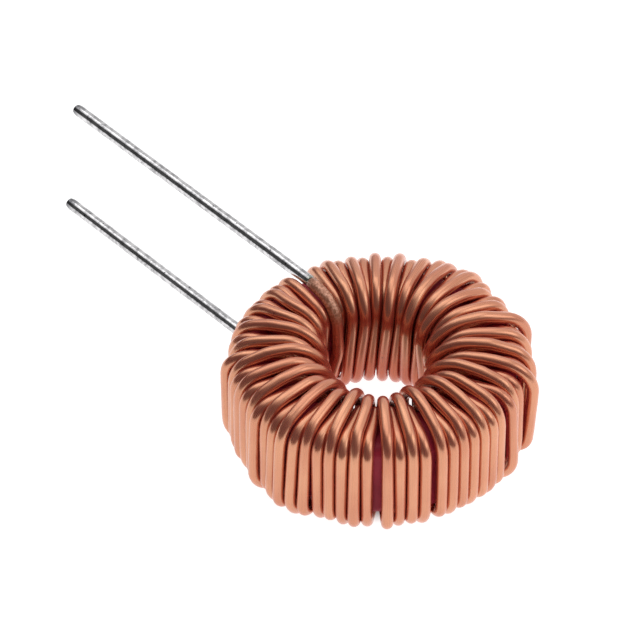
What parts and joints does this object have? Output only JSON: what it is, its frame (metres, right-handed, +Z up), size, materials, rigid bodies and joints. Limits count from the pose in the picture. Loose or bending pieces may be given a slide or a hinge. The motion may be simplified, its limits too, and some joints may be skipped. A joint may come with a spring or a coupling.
{
  "type": "toroidal inductor",
  "caption": "Toroidal inductor: enamelled copper wire wound round a coated ring core that lies flat, with straight tinned wire leads leaving side by side.",
  "frame": {"origin": "on the ring's axis, in the plane that the lowest turns rest on", "axes": "+Z up along the ring's axis, +Y along the leads towards their cut tips"},
  "size_m": [0.0271, 0.0535, 0.0117],
  "materials": {
    "core_coating": "glossy dark red epoxy coating",
    "enamelled_copper": "copper wire under clear glossy enamel",
    "tinned_wire": "solder-dipped, bright with a dull speckle"
  },
  "bodies": {
    "root": {"core": "core_coating", "winding": "enamelled_copper", "upper_lead": "tinned_wire", "lower_lead": "tinned_wire"}
  },
  "joints": []
}
